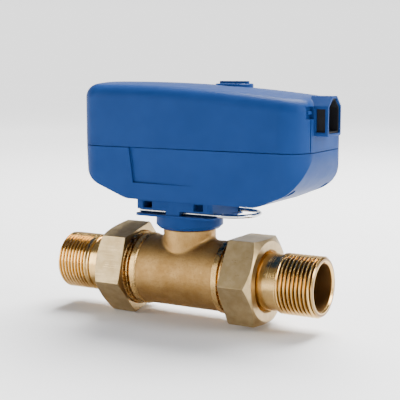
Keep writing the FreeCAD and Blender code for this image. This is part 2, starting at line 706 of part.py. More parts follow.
def make_cover_screws():
    screws = []
    for centre in COVER_SCREWS:
        screws.append(screw(centre, COVER_SCREW_SEAT, COVER_SCREW_TIP, 1.1, 2.2, 1.5, head_up=False))
    return Part.makeCompound(screws)


# ---------------------------------------------------------------- output shaft, cams and switches

def d_bar(radius, flat, z_span):
    """A round bar with one flat, facing +X at the given distance from its axis."""
    bar = upright_cylinder(radius, z_span)
    return bar.cut(box((flat, radius + 1), (-radius - 1, radius + 1), z_span))


def shaft_bore(z_span):
    play = 0.03
    return d_bar(OUTPUT_SHAFT_RADIUS + play, OUTPUT_SHAFT_RADIUS - 0.8 + play, (z_span[0] - 1, z_span[1] + 1))


def make_output_shaft():
    hub_bottom, hub_top = NECK_TOP + 0.3, 41.0
    half = SQUARE_SIZE / 2 + 0.05
    hub = upright_cylinder(HUB_RADIUS, (hub_bottom, hub_top))
    bar = d_bar(OUTPUT_SHAFT_RADIUS, OUTPUT_SHAFT_RADIUS - 0.8, (hub_top, INDICATOR_Z[1] + 0.6))
    socket = box((-half, half), (-half, half), (hub_bottom - 1, STEM_TOP + 0.3))
    return hub.fuse(bar).cut(socket)


def make_output_bush():
    inner = HUB_RADIUS + 0.05
    low, seat, top = NECK_TOP + 0.2, FLOOR_Z + WALL, FLOOR_Z + WALL + 1.0
    outline = [(inner, low), (BUSH_RADIUS, low), (BUSH_RADIUS, seat), (8.0, seat), (8.0, top), (inner, top)]
    return turned_about_z(outline)


def polar(radius, angle, z, centre=(0.0, 0.0)):
    return Vector(centre[0] + radius * math.cos(angle), centre[1] + radius * math.sin(angle), z)


def make_cam(z_span, lift_at_rest, lift_at_end):
    """A spiral cam whose lift toward -X changes evenly over the quarter turn."""
    points = []
    for degrees in range(70, 430, 6):
        if degrees < 90:
            lift = lift_at_end
        elif degrees <= 180:
            lift = lift_at_end + (lift_at_rest - lift_at_end) * (degrees - 90) / 90
        elif degrees <= 200:
            lift = lift_at_rest
        else:
            lift = lift_at_rest + (lift_at_end - lift_at_rest) * (degrees - 200) / 230
        points.append(polar(CAM_LOW + lift, math.radians(degrees), z_span[0]))
    disc = Part.Face(Part.makePolygon(points + points[:1])).extrude(Vector(0, 0, z_span[1] - z_span[0]))
    return disc.cut(shaft_bore(z_span))


def make_open_cam():
    return make_cam(LOWER_CAM_Z, CAM_RISE, 0.0)


def make_closed_cam():
    return make_cam(UPPER_CAM_Z, 0.0, CAM_RISE)


def make_switch(z_span):
    body = box(SWITCH_X, SWITCH_Y, z_span)
    upright = [edge for edge in body.Edges if abs(edge.BoundBox.ZLength - (z_span[1] - z_span[0])) < 0.01]
    body = body.makeFillet(0.6, upright)
    middle = sum(z_span) / 2
    body = body.cut(x_cylinder(1.1, (-16.5, SWITCH_X[1] + 1), (0.0, middle)))
    for centre in SWITCH_PINS:
        body = body.cut(upright_cylinder(SWITCH_PIN_RADIUS, (z_span[0] - 1, z_span[1] + 1), centre))
    return body


def make_switch_terminals():
    blades = []
    for z_span in (LOWER_SWITCH_Z, UPPER_SWITCH_Z):
        middle = sum(z_span) / 2
        for y in (-6.0, 0.0, 6.0):
            blades.append(box((-26.0, SWITCH_X[0]), (y - 1.4, y + 1.4), (middle - 0.25, middle + 0.25)))
    return Part.makeCompound(blades)


def make_plunger(z_span, lift_at_rest):
    """A round-ended pin that stands just off the cam."""
    middle = sum(z_span) / 2
    radius = 1.0
    tip = -(CAM_LOW + lift_at_rest + PLUNGER_GAP)
    rod = x_cylinder(radius, (-14.5, tip - radius), (0.0, middle))
    return rod.fuse(Part.makeSphere(radius, Vector(tip - radius, 0, middle))).removeSplitter()


# ---------------------------------------------------------------- gear train

def involute(angle):
    return math.tan(angle) - angle


def gear(teeth, z_span, phase, centre=(0.0, 0.0)):
    """A spur gear; phase is the direction of one tooth. Flanks start at the base circle."""
    pitch_radius = MODULE * teeth / 2
    base_radius = pitch_radius * math.cos(PRESSURE_ANGLE)
    root, tip = pitch_radius - DEDENDUM, pitch_radius + ADDENDUM
    half_tooth = (math.pi * MODULE / 2 - BACKLASH / 2) / 2 / pitch_radius
    flank = []
    for radius in (max(root, base_radius), pitch_radius, tip):
        roll = math.acos(base_radius / radius)
        flank.append((radius, half_tooth + involute(PRESSURE_ANGLE) - involute(roll)))
    if root < base_radius:
        flank.insert(0, (root, flank[0][1]))
    points = []
    for tooth in range(teeth):
        middle = phase + 2 * math.pi * tooth / teeth
        for radius, spread in flank:
            points.append(polar(radius, middle - spread, z_span[0], centre))
        for radius, spread in reversed(flank):
            points.append(polar(radius, middle + spread, z_span[0], centre))
    outline = Part.Face(Part.makePolygon(points + points[:1]))
    return outline.extrude(Vector(0, 0, z_span[1] - z_span[0]))


def make_output_gear():
    blank = gear(OUTPUT_TEETH, OUTPUT_Z, 0.0)
    low, high = OUTPUT_Z
    for web in ((low - 1, low + 1.4), (high - 1.4, high + 1)):
        blank = blank.cut(tube(12.6, 6.6, web))
    return blank.cut(shaft_bore(OUTPUT_Z))


def make_reduction_gear():
    centre = (GEAR_1_X, 0.0)
    wheel = gear(WHEEL_TEETH, WHEEL_Z, 0.0, centre)
    low, high = WHEEL_Z
    wheel = wheel.cut(tube(11.4, 5.4, (low - 1, low + 1.1), centre))
    pinion_phase = math.pi + math.pi / PINION_TEETH
    pinion = gear(PINION_TEETH, (high, OUTPUT_Z[1]), pinion_phase, centre)
    bore = upright_cylinder(1.55, (low - 1, OUTPUT_Z[1] + 1), centre)
    return wheel.fuse(pinion).cut(bore)


def make_motor_pinion():
    centre = (MOTOR_X, 0.0)
    blank = gear(MOTOR_TEETH, WHEEL_Z, math.pi + math.pi / MOTOR_TEETH, centre)
    return blank.cut(upright_cylinder(1.2, (WHEEL_Z[0] - 1, WHEEL_Z[1] + 1), centre))


def make_indicator_drive_gear():
    return gear(INDICATOR_TEETH, INDICATOR_Z, KNOB_ANGLE).cut(shaft_bore(INDICATOR_Z))


def make_indicator_gear():
    centre = (KNOB_X, KNOB_Y)
    blank = gear(INDICATOR_TEETH, INDICATOR_Z, KNOB_ANGLE + math.pi + math.pi / INDICATOR_TEETH, centre)
    return blank.cut(upright_cylinder(2.5, (INDICATOR_Z[0] - 1, INDICATOR_Z[1] + 1), centre))


def make_gear_axle():
    return upright_cylinder(1.5, (PLATE_Z[0], TOP_PLATE_Z[1]), (GEAR_1_X, 0.0))


def make_gear_plate():
    plate = rounded_slab((-22.5, 57.0), (-18.5, 18.5), PLATE_Z, 3.0)
    cuts = [(4.15, (0.0, 0.0)), (1.5, (GEAR_1_X, 0.0)), (3.6, (MOTOR_X, 0.0))]
    cuts += [(1.0, centre) for centre in PLATE_BOSSES]
    cuts += [(0.9, centre) for centre in PLATE_POSTS + MOTOR_SCREWS]
    cuts += [(3.8, centre) for centre in COVER_SCREWS[2:]]
    for radius, centre in cuts:
        plate = plate.cut(upright_cylinder(radius, (PLATE_Z[0] - 1, PLATE_Z[1] + 1), centre))
    return plate


def make_top_plate():
    plate = rounded_slab((-16.0, 38.0), (-17.0, 17.0), TOP_PLATE_Z, 3.0)
    cuts = [(4.15, (0.0, 0.0)), (1.5, (GEAR_1_X, 0.0)), (1.5, (KNOB_X, KNOB_Y))]
    cuts += [(0.9, centre) for centre in PLATE_POSTS]
    for radius, centre in cuts:
        plate = plate.cut(upright_cylinder(radius, (TOP_PLATE_Z[0] - 1, TOP_PLATE_Z[1] + 1), centre))
    return plate


def make_plate_spacers():
    return Part.makeCompound([tube(2.0, 0.9, (PLATE_Z[1], TOP_PLATE_Z[0]), centre) for centre in PLATE_POSTS])


def make_gear_plate_screws():
    return Part.makeCompound([screw(c, PLATE_Z[1], PLATE_Z[0] - 8.0, 1.0, 1.9, 1.2) for c in PLATE_BOSSES])


def make_top_plate_screws():
    return Part.makeCompound([screw(c, TOP_PLATE_Z[1], PLATE_Z[0], 0.9, 1.8, 1.2) for c in PLATE_POSTS])


def make_motor_can():
    centre = (MOTOR_X, 0.0)
    can = upright_cylinder(MOTOR_RADIUS, (MOTOR_BOTTOM, PLATE_Z[0]), centre)
    bottom = [edge for edge in can.Edges if edge.BoundBox.ZMax < MOTOR_BOTTOM + 0.1]
    can = can.makeFillet(1.5, bottom).fuse(upright_cylinder(3.5, (PLATE_Z[0], PLATE_Z[1] - 0.1), centre))
    can = can.cut(upright_cylinder(1.3, (47.5, PLATE_Z[1] + 1), centre))
    for screw_centre in MOTOR_SCREWS:
        can = can.cut(upright_cylinder(0.9, (52.5, PLATE_Z[0] + 1), screw_centre))
    return can


def make_motor_screws():
    return Part.makeCompound([screw(c, PLATE_Z[1], 53.0, 0.9, 1.6, 0.9) for c in MOTOR_SCREWS])


def make_motor_shaft():
    return upright_cylinder(1.2, (48.0, WHEEL_Z[1] + 0.6), (MOTOR_X, 0.0))


# ---------------------------------------------------------------- knob and electronics

def make_knob_shaft():
    centre = (KNOB_X, KNOB_Y)
    journal = upright_cylinder(1.45, (TOP_PLATE_Z[0], TOP_PLATE_Z[1] + 0.1), centre)
    return journal.fuse(upright_cylinder(2.5, (TOP_PLATE_Z[1] + 0.1, KNOB_FLOOR_Z + 1.1), centre))


def make_override_knob():
    centre = (KNOB_X, KNOB_Y)
    low, top, grip_top = KNOB_FLOOR_Z + 0.15, KNOB_TOP, KNOB_GRIP_TOP
    disc = upright_cylinder(KNOB_RADIUS, (low, top), centre)
    rim = [edge for edge in disc.Edges if edge.BoundBox.ZMin > top - 0.01]
    disc = disc.makeChamfer(0.4, rim)
    reach = KNOB_RADIUS - 1.2
    grip = rounded_slab((KNOB_X - reach, KNOB_X + reach), (KNOB_Y - 1.5, KNOB_Y + 1.5), (low, grip_top), 1.4)
    pointer = box((KNOB_X + reach - 3.6, KNOB_X + reach - 0.8), (KNOB_Y - 0.3, KNOB_Y + 0.3), (grip_top - 0.4, 90))
    knob = disc.fuse(grip).cut(pointer)
    return knob.cut(upright_cylinder(2.5, (low - 1, KNOB_FLOOR_Z + 1.1), centre))


def make_circuit_board():
    return box((BOARD_X - 1.6, BOARD_X), (-17.8, 17.8), (60.8, 81.4))


def make_board_relay():
    relay = box((BOARD_X - 13.0, BOARD_X - 1.6), (-8.0, 7.0), (62.0, 73.0))
    outer = [edge for edge in relay.Edges if edge.BoundBox.XMax < BOARD_X - 12.9]
    return relay.makeFillet(0.5, outer)


def make_board_capacitor():
    middle = (0.0, 77.6)
    can = x_cylinder(3.8, (BOARD_X - 12.0, BOARD_X - 1.6), middle)
    end = [edge for edge in can.Edges if edge.BoundBox.XMax < BOARD_X - 11.9]
    return can.makeFillet(0.5, end)


def make_board_terminals():
    block = box((BOARD_X, BOARD_X + 5.5), (-14.0, 4.0), (74.0, 80.5))
    for index in range(4):
        y = -11.6 + 4.4 * index
        block = block.cut(upright_cylinder(1.5, (78.5, 81.0), (BOARD_X + 2.8, y)))
    return block


# ---------------------------------------------------------------- all the pieces

def valve_pieces():
    nut_left = mirrored_x(make_union_nut_right(NUT_TURNS["left"]))
    return {
        "valve_body": make_valve_body(),
        "ball": make_ball(),
        "ball_seats": make_ball_seats(),
        "seat_retainer": make_seat_retainer(),
        "stem": make_stem(),
        "stem_o_rings": make_stem_o_rings(),
        "stem_thrust_washer": make_stem_thrust_washer(),
        "gasket_left": mirrored_x(make_gasket_right()),
        "gasket_right": make_gasket_right(),
        "tailpiece_left": mirrored_x(make_tailpiece_right()),
        "tailpiece_right": make_tailpiece_right(),
        "union_nut_left": nut_left,
        "union_nut_right": make_union_nut_right(NUT_TURNS["right"]),
    }


def housing_pieces():
    return {
        "wire_clip": make_wire_clip(),
        "base_housing": make_base_housing(),
        "cover": make_cover(),
        "housing_seal": make_housing_seal(),
        "cover_screws": make_cover_screws(),
        "connector_insert": make_connector_insert(),
        "connector_contacts": make_connector_contacts(),
        "knob_shaft": make_knob_shaft(),
        "override_knob": make_override_knob(),
    }


def drive_pieces():
    return {
        "output_bush": make_output_bush(),
        "output_shaft": make_output_shaft(),
        "open_cam": make_open_cam(),
        "closed_cam": make_closed_cam(),
        "open_switch": make_switch(LOWER_SWITCH_Z),
        "closed_switch": make_switch(UPPER_SWITCH_Z),
        "switch_terminals": make_switch_terminals(),
        "open_plunger": make_plunger(LOWER_SWITCH_Z, CAM_RISE),
        "closed_plunger": make_plunger(UPPER_SWITCH_Z, 0.0),
        "output_gear": make_output_gear(),
        "reduction_gear": make_reduction_gear(),
        "gear_axle": make_gear_axle(),
        "indicator_drive_gear": make_indicator_drive_gear(),
        "indicator_gear": make_indicator_gear(),
        "gear_plate": make_gear_plate(),
        "gear_plate_screws": make_gear_plate_screws(),
        "plate_spacers": make_plate_spacers(),
        "top_plate": make_top_plate(),
        "top_plate_screws": make_top_plate_screws(),
        "motor_can": make_motor_can(),
        "motor_screws": make_motor_screws(),
        "motor_shaft": make_motor_shaft(),
        "motor_pinion": make_motor_pinion(),
    }


def board_pieces():
    return {
        "circuit_board": make_circuit_board(),
        "board_relay": make_board_relay(),
        "board_capacitor": make_board_capacitor(),
        "board_terminals": make_board_terminals(),
    }


def main():
    os.makedirs("parts", exist_ok=True)
    pieces = {**valve_pieces(), **housing_pieces(), **drive_pieces(), **board_pieces()}
    for name, shape in pieces.items():
        shape.exportStep(f"parts/{name}.step")
        state = "valid" if shape.isValid() else "NOT VALID"
        print(f"{name}: {len(shape.Solids)} solids, {shape.Volume:.0f} mm3, {len(shape.Faces)} faces, {state}")


main()
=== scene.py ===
"""The looks of the motorised zone valve: blue moulded housing on a brass ball valve."""
import json
import math

import bmesh
import bpy
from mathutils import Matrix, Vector


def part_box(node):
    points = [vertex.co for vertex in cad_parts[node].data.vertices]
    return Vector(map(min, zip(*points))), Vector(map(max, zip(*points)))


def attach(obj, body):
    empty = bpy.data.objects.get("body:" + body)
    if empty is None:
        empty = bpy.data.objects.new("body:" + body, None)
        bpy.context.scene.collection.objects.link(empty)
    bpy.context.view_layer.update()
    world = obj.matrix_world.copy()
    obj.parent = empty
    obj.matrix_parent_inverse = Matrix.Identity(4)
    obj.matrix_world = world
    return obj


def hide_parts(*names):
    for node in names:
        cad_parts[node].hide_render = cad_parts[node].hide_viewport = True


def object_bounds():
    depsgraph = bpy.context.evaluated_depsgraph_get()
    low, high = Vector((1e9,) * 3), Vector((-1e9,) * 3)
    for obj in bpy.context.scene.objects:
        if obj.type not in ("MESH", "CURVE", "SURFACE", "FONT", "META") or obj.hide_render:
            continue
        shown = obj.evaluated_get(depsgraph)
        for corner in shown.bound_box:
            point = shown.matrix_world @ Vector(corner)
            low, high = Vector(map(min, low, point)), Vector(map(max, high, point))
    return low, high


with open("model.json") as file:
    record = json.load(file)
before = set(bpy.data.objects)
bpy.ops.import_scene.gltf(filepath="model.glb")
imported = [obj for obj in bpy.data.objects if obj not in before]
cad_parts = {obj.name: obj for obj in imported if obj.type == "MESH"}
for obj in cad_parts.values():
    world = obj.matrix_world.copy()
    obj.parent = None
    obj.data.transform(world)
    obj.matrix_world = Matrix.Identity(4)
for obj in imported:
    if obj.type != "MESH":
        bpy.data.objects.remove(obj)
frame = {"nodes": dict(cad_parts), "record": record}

CAD_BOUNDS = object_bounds()
MM = 0.001


# ---------------------------------------------------------------- shader helpers

def set_range(spread, low, high, out_low, out_high):
    """Sets a Map Range node to turn low..high into out_low..out_high."""
    for label, value in (("From Min", low), ("From Max", high), ("To Min", out_low), ("To Max", out_high)):
        spread.inputs[label].default_value = value


class Shader:
    """A Principled material and the few node chains that the finishes below share."""

    def __init__(self, name, colour, roughness, metallic=0.0, **sockets):
        self.material = bpy.data.materials.new(name)
        self.material.use_nodes = True
        self.material.diffuse_color = (*colour, 1.0)
        self.tree = self.material.node_tree
        self.surface = self.tree.nodes["Principled BSDF"]
        self.surface.inputs["Base Color"].default_value = (*colour, 1.0)
        self.surface.inputs["Roughness"].default_value = roughness
        self.surface.inputs["Metallic"].default_value = metallic
        for label, value in sockets.items():
            socket = label.replace("_", " ").title().replace("Ior", "IOR")
            self.surface.inputs[socket].default_value = value
        self.height = None
        self.place = self.node("ShaderNodeTexCoord").outputs["Object"]

    def node(self, kind, **settings):
        made = self.tree.nodes.new(kind)
        for label, value in settings.items():
            setattr(made, label, value)
        return made

    def link(self, source, target):
        self.tree.links.new(source, target)

    def stretched(self, scale):
        """Object coordinates multiplied by a scale for each axis."""
        mapping = self.node("ShaderNodeMapping")
        mapping.inputs["Scale"].default_value = scale
        self.link(self.place, mapping.inputs["Vector"])
        return mapping.outputs["Vector"]

    def math(self, operation, first, second=None):
        """A Math node; either input is a socket or a number."""
        step = self.node("ShaderNodeMath", operation=operation)
        for index, value in enumerate((first, second)):
            if isinstance(value, (int, float)):
                step.inputs[index].default_value = value
            elif value is not None:
                self.link(value, step.inputs[index])
        return step.outputs["Value"]

    def pipe_place(self):
        """(distance along the pipe from its middle, distance from its axis), both in metres."""
        parts = self.node("ShaderNodeSeparateXYZ")
        self.link(self.place, parts.inputs["Vector"])
        x, y, z = parts.outputs
        square = self.math("ADD", self.math("MULTIPLY", y, y), self.math("MULTIPLY", z, z))
        return self.math("ABSOLUTE", x), self.math("SQRT", square)

    def noise(self, size_mm, detail=3.0, rough=0.55, vector=None):
        """Noise from 0 to 1 whose features are about size_mm across."""
        texture = self.node("ShaderNodeTexNoise")
        texture.inputs["Scale"].default_value = 1.0 / (size_mm * MM)
        texture.inputs["Detail"].default_value = detail
        texture.inputs["Roughness"].default_value = rough
        self.link(vector or self.place, texture.inputs["Vector"])
        return texture.outputs["Fac"]

    def cells(self, size_mm):
        """Distance to the middle of the nearest cell, in cells about size_mm across."""
        texture = self.node("ShaderNodeTexVoronoi")
        texture.inputs["Scale"].default_value = 1.0 / (size_mm * MM)
        self.link(self.place, texture.inputs["Vector"])
        return texture.outputs["Distance"]

    def ramp(self, source, low, high, out_low, out_high):
        """source from low..high to out_low..out_high."""
        spread = self.node("ShaderNodeMapRange")
        set_range(spread, low, high, out_low, out_high)
        self.link(source, spread.inputs["Value"])
        return spread.outputs["Result"]

    def colour_between(self, factor, first, second):
        """Two colours, each a tuple or the output of another node, mixed by the factor."""
        mix = self.node("ShaderNodeMix", data_type="RGBA")
        for label, value in (("A", first), ("B", second)):
            if isinstance(value, tuple):
                mix.inputs[label].default_value = (*value, 1.0)
            else:
                self.link(value, mix.inputs[label])
        self.link(factor, mix.inputs["Factor"])
        return mix.outputs["Result"]

    def set_colour(self, factor, first, second):
        self.link(self.colour_between(factor, first, second), self.surface.inputs["Base Color"])

    def set_roughness(self, source, low, high, rough_low, rough_high):
        self.link(self.ramp(source, low, high, rough_low, rough_high), self.surface.inputs["Roughness"])

    def add_bump(self, source, depth_mm, strength=1.0):
        """Bumps stack: each one bends the normal that the last one made."""
        bump = self.node("ShaderNodeBump")
        bump.inputs["Strength"].default_value = strength
        bump.inputs["Distance"].default_value = depth_mm * MM
        self.link(source, bump.inputs["Height"])
        if self.height is not None:
            self.link(self.height, bump.inputs["Normal"])
        self.height = bump.outputs["Normal"]
        self.link(self.height, self.surface.inputs["Normal"])

    def round_edges(self, radius_mm):
        """Softens the look of sharp edges by the radius that a mould or a tumble leaves."""
        bevel = self.node("ShaderNodeBevel", samples=6)
        bevel.inputs["Radius"].default_value = radius_mm * MM
        self.height = bevel.outputs["Normal"]
        self.link(self.height, self.surface.inputs["Normal"])


# ---------------------------------------------------------------- finishes

BLUE = (0.010, 0.041, 0.160)
BLUE_SHADE = (0.008, 0.036, 0.144)
BLACK = (0.012, 0.012, 0.014)
BLACK_SHADE = (0.018, 0.018, 0.020)
BRIGHT_BRASS = (0.72, 0.47, 0.18)
BRIGHT_BRASS_SHADE = (0.64, 0.40, 0.14)

# Where the brass finishes and the painted shade in the thread roots change, in mm: distances from the
# valve's middle, then radii
CASTING_END = (19.5, 19.7)       # the casting gives way to the machined rings
THREAD_START = (47.6, 48.4)      # the tailpiece threads begin
GROOVE_SHADE_RADII = (13.0, 12.1)      # the painted shade deepens down a thread groove
ROOT_SHADE_RADII = (11.2, 11.6)         # the painted root shade begins, outside the bore
BORE_RADII = (10.45, 10.25)      # the dull bore begins


def in_metres(pair):
    """A pair of values in mm, as metres."""
    return tuple(value * MM for value in pair)


def moulded_plastic(name, colour, shade, roughness, edge_mm=0.35, grain_mm=0.45):
    """Injection-moulded plastic: fine spark-eroded grain, faint flow mottling, soft edges."""
    made = Shader(name, colour, roughness, specular_ior_level=0.08, ior=1.36)
    made.round_edges(edge_mm)
    made.set_colour(made.ramp(made.noise(14.0, 2.0), 0.35, 0.65, 0.0, 1.0), colour, shade)
    made.set_roughness(made.noise(6.0, 3.0), 0.3, 0.7, roughness - 0.04, roughness + 0.05)
    made.add_bump(made.noise(grain_mm, 2.0), 0.02, 0.35)
    made.add_bump(made.noise(22.0, 1.0), 0.12, 0.25)
    return made.material


def cast_brass(name):
    """Shot-blasted pressed brass: matte grain, but smooth and bright on its two machined rings."""
    made = Shader(name, (0.46, 0.32, 0.16), 0.46, 1.0)
    made.round_edges(0.3)
    along = made.pipe_place()[0]
    beyond_casting = made.ramp(along, *in_metres(CASTING_END), 0.0, 1.0)
    blasted = made.math("SUBTRACT", 1.0, beyond_casting)
    patches = made.ramp(made.noise(9.0, 4.0), 0.35, 0.65, 0.0, 1.0)
    tan = made.colour_between(patches, (0.33, 0.185, 0.058), (0.44, 0.268, 0.096))
    specks = made.ramp(made.noise(0.7, 3.0), 0.55, 0.75, 0.0, 0.55)
    speckled = made.colour_between(specks, tan, (0.22, 0.13, 0.05))
    made.set_colour(beyond_casting, speckled, (0.60, 0.38, 0.14))
    rough = made.ramp(made.noise(1.6, 3.0), 0.3, 0.7, 0.44, 0.60)
    smoother = made.math("MULTIPLY", beyond_casting, 0.24)
    made.link(made.math("SUBTRACT", rough, smoother), made.surface.inputs["Roughness"])
    made.add_bump(made.math("MULTIPLY", made.noise(0.9, 4.0, 0.6), blasted), 0.14, 0.7)
    made.add_bump(made.math("MULTIPLY", made.cells(0.55), blasted), 0.07, 0.45)
    return made.material


def turned_brass(name, colour, shade, roughness, line_mm, depth_mm=0.03):
    """Lathe-turned brass: fine tool lines round the pipe axis."""
    made = Shader(name, colour, roughness, 1.0)
    made.round_edges(0.12)
    lines = made.noise(line_mm, 2.0, 0.5, made.stretched((1.0, 0.02, 0.02)))
    made.set_colour(made.ramp(made.noise(5.0, 3.0), 0.3, 0.7, 0.0, 1.0), colour, shade)
    made.set_roughness(lines, 0.3, 0.7, roughness - 0.05, roughness + 0.08)
    made.add_bump(lines, depth_mm, 0.35)
    return made.material


def tailpiece_brass(name):
    """Bright turned brass, with painted shade darkening the thread's roots, and dull inside the bore."""
    made = Shader(name, BRIGHT_BRASS, 0.2, 1.0)
    made.round_edges(0.07)
    along, radius = made.pipe_place()
    lines = made.noise(0.25, 2.0, 0.5, made.stretched((1.0, 0.02, 0.02)))
    smears = made.ramp(made.noise(4.0, 4.0), 0.35, 0.65, 0.0, 1.0)
    bright = made.colour_between(smears, BRIGHT_BRASS, BRIGHT_BRASS_SHADE)
    on_thread = made.ramp(along, *in_metres(THREAD_START), 0.0, 1.0)
    # Painted shade in the thread roots: darker deeper in each groove, on the thread only, not in the bore
    deep = made.ramp(radius, *in_metres(GROOVE_SHADE_RADII), 0.0, 0.9)
    outside = made.ramp(radius, *in_metres(ROOT_SHADE_RADII), 0.0, 1.0)
    root_shade = made.math("MULTIPLY", on_thread, made.math("MULTIPLY", deep, outside))
    # the dark brown of the painted root shade
    root_shaded = made.colour_between(root_shade, bright, (0.13, 0.06, 0.015))
    in_bore = made.ramp(radius, *in_metres(BORE_RADII), 0.0, 1.0)
    made.set_colour(in_bore, root_shaded, (0.26, 0.135, 0.045))
    rough = made.ramp(lines, 0.3, 0.7, 0.15, 0.28)
    duller = made.math("MULTIPLY", in_bore, 0.22)
    made.link(made.math("ADD", rough, duller), made.surface.inputs["Roughness"])
    made.add_bump(lines, 0.02, 0.3)
    return made.material


def brushed_nut_brass(name):
    """Drawn hexagon bar: satin flats with fine lines along the pipe, dull in patches."""
    made = Shader(name, (0.42, 0.32, 0.18), 0.34, 1.0)
    made.round_edges(0.3)
    lines = made.noise(0.35, 3.0, 0.6, made.stretched((0.04, 1.0, 1.0)))
    patches = made.ramp(made.noise(4.0, 4.0), 0.3, 0.7, 0.0, 1.0)
    made.set_colour(patches, (0.32, 0.225, 0.105), (0.44, 0.325, 0.170))
    made.set_roughness(lines, 0.3, 0.7, 0.27, 0.44)
    made.add_bump(lines, 0.035, 0.45)
    made.add_bump(made.noise(1.2, 2.0), 0.02, 0.3)
    return made.material


def polished_metal(name, colour, roughness, scratch_mm=0.4):
    """Bright metal with faint smears and hairline marks."""
    made = Shader(name, colour, roughness, 1.0)
    made.round_edges(0.1)
    smears = made.noise(3.0, 3.0)
    made.set_roughness(smears, 0.3, 0.7, roughness, roughness + 0.12)
    made.set_colour(smears, colour, tuple(0.88 * part for part in colour))
    made.add_bump(made.noise(scratch_mm, 2.0, 0.5, made.stretched((0.05, 1.0, 1.0))), 0.01, 0.25)
    return made.material


def soft_polymer(name, colour, roughness, grain_mm=0.3):
    """Rubber, fibre and PTFE: dull, slightly uneven and finely pitted."""
    made = Shader(name, colour, roughness)
    made.set_colour(made.noise(2.5, 3.0), colour, tuple(0.8 * part for part in colour))
    made.add_bump(made.noise(grain_mm, 3.0), 0.03, 0.5)
    return made.material


def sheet_steel(name):
    """Galvanised sheet with the large dull flakes of its zinc."""
    made = Shader(name, (0.52, 0.54, 0.56), 0.38, 1.0)
    flakes = made.cells(4.0)
    made.set_colour(flakes, (0.46, 0.48, 0.50), (0.62, 0.64, 0.66))
    made.set_roughness(flakes, 0.1, 0.7, 0.30, 0.52)
    made.add_bump(made.noise(0.5, 2.0), 0.01, 0.3)
    return made.material


def solder_mask(name):
    """A green circuit board with tracks showing through the lacquer."""
    made = Shader(name, (0.02, 0.17, 0.07), 0.3)
    weave = made.cells(2.2)
    made.set_colour(made.ramp(weave, 0.28, 0.34, 0.0, 1.0), (0.015, 0.13, 0.05), (0.04, 0.24, 0.10))
    made.add_bump(weave, 0.02, 0.4)
    return made.material


TAILPIECE_BRASS = tailpiece_brass("tailpiece_brass")

FINISHES = {
    "blue_plastic": moulded_plastic("blue_plastic", BLUE, BLUE_SHADE, 0.40),
    "black_plastic": moulded_plastic("black_plastic", BLACK, BLACK_SHADE, 0.42, 0.15, 0.3),
    "cast_brass": cast_brass("cast_brass"),
    "nut_brass": brushed_nut_brass("nut_brass"),
    "turned_brass": turned_brass("turned_brass", BRIGHT_BRASS, BRIGHT_BRASS_SHADE, 0.24, 0.28),
    "ball_chrome": polished_metal("ball_chrome", (0.80, 0.81, 0.83), 0.05),
    "ptfe": soft_polymer("ptfe", (0.82, 0.82, 0.80), 0.5),
    "elastomer": soft_polymer("elastomer", (0.012, 0.012, 0.012), 0.6),
    "fibre_gasket": soft_polymer("fibre_gasket", (0.05, 0.16, 0.09), 0.7),
    "spring_steel": polished_metal("spring_steel", (0.66, 0.67, 0.68), 0.16),
    "screw_steel": polished_metal("screw_steel", (0.58, 0.59, 0.60), 0.25),
    "plate_steel": sheet_steel("plate_steel"),
    "motor_steel": polished_metal("motor_steel", (0.40, 0.41, 0.43), 0.32),
    "acetal": moulded_plastic("acetal", (0.78, 0.76, 0.68), (0.74, 0.72, 0.64), 0.4, 0.1, 0.3),
    "cam_acetal": moulded_plastic("cam_acetal", (0.60, 0.16, 0.03), (0.55, 0.14, 0.03), 0.4, 0.1, 0.3),
    "board": solder_mask("board"),
    "contact_brass": polished_metal("contact_brass", (0.76, 0.58, 0.28), 0.2),
    "capacitor_sleeve": soft_polymer("capacitor_sleeve", (0.02, 0.03, 0.06), 0.3),
}


def finish_cad_nodes():
    """Gives every CAD node the finish of its slot."""
    for part in frame["record"]["subparts"]:
        mesh = frame["nodes"][part["node"]].data
        mesh.materials.clear()
        mesh.materials.append(FINISHES[part["material_slot"]])


# ---------------------------------------------------------------- threaded tailpieces

# A G3/4 pipe thread, in millimetres
PITCH = 1.814
THREAD_DEPTH = 1.162
MAJOR_RADIUS = 13.22
ROOT_FLAT = 0.15
FLANK = THREAD_DEPTH * math.tan(math.radians(27.5))
CREST_FLAT = PITCH - 2 * FLANK - ROOT_FLAT
THREAD_LENGTH = 17.6
RUN_OUT = 2.4
CHAMFER = 0.9
CHAMFER_DROP = 0.92
SHANK_RADIUS = 12.5
BORE_RADIUS = 10.2
COLLAR_FACE = 38.0       # the collar's outer face, as a distance from the valve's middle
EDGE = 0.3               # chamfer on the collar
MOUTH_CHAMFER = 0.8      # chamfer at the outer mouth of the bore
INNER_CHAMFER = 0.4      # and at the inner mouth
FILLET = 0.5             # where the shank meets the collar
SHOULDER = 0.4           # from the shank up to the thread's inner end
AROUND = 144
SHARP_EDGE = math.radians(22)
MERGE_DISTANCE = 1e-7    # metres


def groove_share(along):
    """How deep the groove is along one pitch that starts with a crest: 0 on the crest, 1 in the root."""
    past_crest = along - CREST_FLAT
    if past_crest <= 0:
        return 0.0
    if past_crest <= FLANK:
        return past_crest / FLANK
    return min(1.0, (PITCH - along) / FLANK)


def thread_radius(along, turn):
    """The radius at a distance from the thread's inner end; turn goes from 0 to 1 round the pipe."""
    groove = groove_share((along - turn * PITCH) % PITCH)
    fade = min(1.0, along / RUN_OUT)
    chamfered = MAJOR_RADIUS - max(0.0, along - THREAD_LENGTH + CHAMFER) / CHAMFER * CHAMFER_DROP
    return min(MAJOR_RADIUS - THREAD_DEPTH * groove * fade, chamfered)


